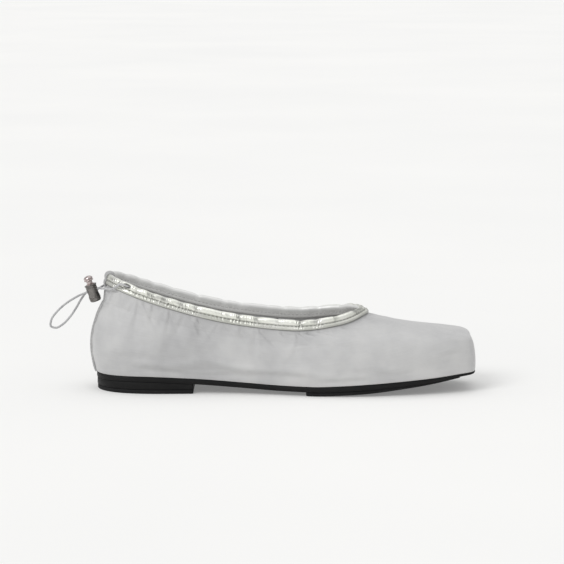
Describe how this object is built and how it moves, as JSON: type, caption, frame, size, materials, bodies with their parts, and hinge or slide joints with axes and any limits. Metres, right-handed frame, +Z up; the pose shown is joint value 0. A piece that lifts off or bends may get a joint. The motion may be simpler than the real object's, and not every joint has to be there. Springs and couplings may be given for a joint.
{
  "type": "ballet slipper",
  "caption": "Square-toed ballet slipper for the right foot, with a low heel, a gathered metallic topline binding and an elastic drawcord held by a spring cord lock at the heel.",
  "frame": {"origin": "On the floor under the middle of the shoe's bounding box, without the free drawcord and its lock.", "axes": "+X points to the toe, -Y to the outer (lateral) side of this right shoe, +Z up. The shoe stands on the heel's top lift and the pad under the ball."},
  "size_m": [0.2751, 0.0782, 0.0744],
  "materials": {
    "satin": "light silver-grey woven satin",
    "cord": "thin grey braided elastic",
    "foam": "soft latex foam",
    "cork": "cork filler",
    "black_rubber": "matt black rubber",
    "black_sole": "satin black",
    "black_heel": "satin black",
    "stiffener": "thermoplastic stiffener sheet",
    "fibre_board": "cellulose insole board",
    "lining": "soft grey lining",
    "sock_leather": "pale grey leather",
    "silver_leather": "silver metallic foil leather",
    "lock_metal": "polished nickel",
    "spring_steel": "bright steel wire",
    "shank_steel": "blued spring steel",
    "nail_steel": "bright steel",
    "rivet_brass": "plain brass"
  },
  "bodies": {
    "shoe": {"back_stay": "satin", "drawcord_casing_run": "cord", "drawcord_loop": "cord", "footbed_foam": "foam", "forepart_filler": "cork", "forepart_grip_pad": "black_rubber", "heel_block": "black_heel", "heel_counter": "stiffener", "heel_nail_1": "nail_steel", "heel_nail_2": "nail_steel", "heel_nail_3": "nail_steel", "heel_nail_4": "nail_steel", "heel_nail_5": "nail_steel", "heel_top_lift": "black_rubber", "insole_board": "fibre_board", "lift_nail_1": "nail_steel", "lift_nail_2": "nail_steel", "lift_nail_3": "nail_steel", "outsole": "black_sole", "quarter_lining": "lining", "shank": "shank_steel", "shank_rivet_1": "rivet_brass", "shank_rivet_2": "rivet_brass", "sock_lining": "sock_leather", "toe_puff": "stiffener", "topline_binding": "silver_leather", "upper_fabric": "satin", "vamp_lining": "lining"},
    "cord_lock": {"lock_barrel": "lock_metal", "lock_spring": "spring_steel"},
    "plunger": {"lock_plunger": "lock_metal"}
  },
  "joints": [
    {"name": "cord_lock_slide", "type": "slide", "parent": "shoe", "child": "cord_lock", "axis": [-0.9455, 0, -0.3256], "range_m": [0, 0.012], "deforming": ["drawcord_loop"]},
    {"name": "plunger_press", "type": "slide", "parent": "cord_lock", "child": "plunger", "axis": [0.3256, 0, -0.9455], "range_m": [0, 0.0022], "stiffness_N_per_m": 400, "springref_m": -0.001, "deforming": ["lock_spring"]}
  ]
}
